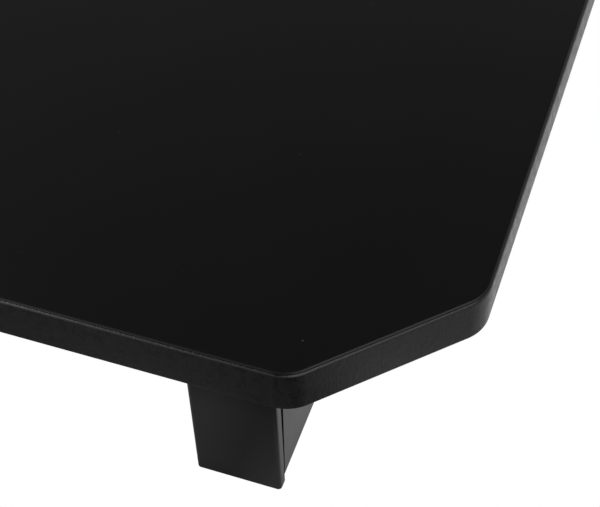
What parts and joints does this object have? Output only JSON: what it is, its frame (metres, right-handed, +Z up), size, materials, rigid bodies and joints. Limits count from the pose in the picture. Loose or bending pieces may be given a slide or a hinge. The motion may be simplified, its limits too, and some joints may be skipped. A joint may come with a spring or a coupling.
{
  "type": "stage riser platform",
  "caption": "Low black stage riser: a laminated deck with cut corners, on front-to-back channel runners whose capped ends form the feet, tied by cross rails.",
  "frame": {"origin": "on the floor, under the middle of the deck", "axes": "+X to the riser's right along its long side, -Y to its front, +Z up"},
  "size_m": [1, 0.8, 0.1524],
  "materials": {
    "laminate": "satin black high-pressure laminate",
    "edging": "satin black moulded edging with a fine grain",
    "core": "birch plywood, hidden between the sheets",
    "backer": "dark brown phenolic balancing film",
    "gloss_steel": "gloss black powder coat",
    "satin_steel": "satin black powder coat",
    "gloss_moulding": "gloss black moulding",
    "pad_rubber": "matt black rubber",
    "zinc_plate": "bright zinc plate",
    "black_screw": "black zinc plate",
    "rivet_aluminium": "plain aluminium"
  },
  "bodies": {
    "root": {"top_sheet": "laminate", "deck_core": "core", "bottom_sheet": "backer", "edge_band": "edging", "runner_left": "gloss_steel", "runner_right": "gloss_steel", "cross_rail_front": "satin_steel", "cross_rail_rear": "satin_steel", "end_cap_front_left": "gloss_moulding", "foot_pad_front_left": "pad_rubber", "rail_bracket_front_left": "zinc_plate", "cap_screw_front_left": "black_screw", "rail_screw_front_left": "black_screw", "bracket_screw_front_left": "black_screw", "bracket_rivet_front_left_1": "rivet_aluminium", "bracket_rivet_front_left_2": "rivet_aluminium", "end_cap_rear_left": "gloss_moulding", "foot_pad_rear_left": "pad_rubber", "rail_bracket_rear_left": "zinc_plate", "cap_screw_rear_left": "black_screw", "rail_screw_rear_left": "black_screw", "bracket_screw_rear_left": "black_screw", "bracket_rivet_rear_left_1": "rivet_aluminium", "bracket_rivet_rear_left_2": "rivet_aluminium", "end_cap_front_right": "gloss_moulding", "foot_pad_front_right": "pad_rubber", "rail_bracket_front_right": "zinc_plate", "cap_screw_front_right": "black_screw", "rail_screw_front_right": "black_screw", "bracket_screw_front_right": "black_screw", "bracket_rivet_front_right_1": "rivet_aluminium", "bracket_rivet_front_right_2": "rivet_aluminium", "end_cap_rear_right": "gloss_moulding", "foot_pad_rear_right": "pad_rubber", "rail_bracket_rear_right": "zinc_plate", "cap_screw_rear_right": "black_screw", "rail_screw_rear_right": "black_screw", "bracket_screw_rear_right": "black_screw", "bracket_rivet_rear_right_1": "rivet_aluminium", "bracket_rivet_rear_right_2": "rivet_aluminium", "runner_bolt_left_1": "black_screw", "threaded_insert_left_1": "zinc_plate", "runner_bolt_left_2": "black_screw", "threaded_insert_left_2": "zinc_plate", "runner_bolt_left_3": "black_screw", "threaded_insert_left_3": "zinc_plate", "runner_bolt_left_4": "black_screw", "threaded_insert_left_4": "zinc_plate", "runner_bolt_right_1": "black_screw", "threaded_insert_right_1": "zinc_plate", "runner_bolt_right_2": "black_screw", "threaded_insert_right_2": "zinc_plate", "runner_bolt_right_3": "black_screw", "threaded_insert_right_3": "zinc_plate", "runner_bolt_right_4": "black_screw", "threaded_insert_right_4": "zinc_plate"}
  },
  "joints": []
}
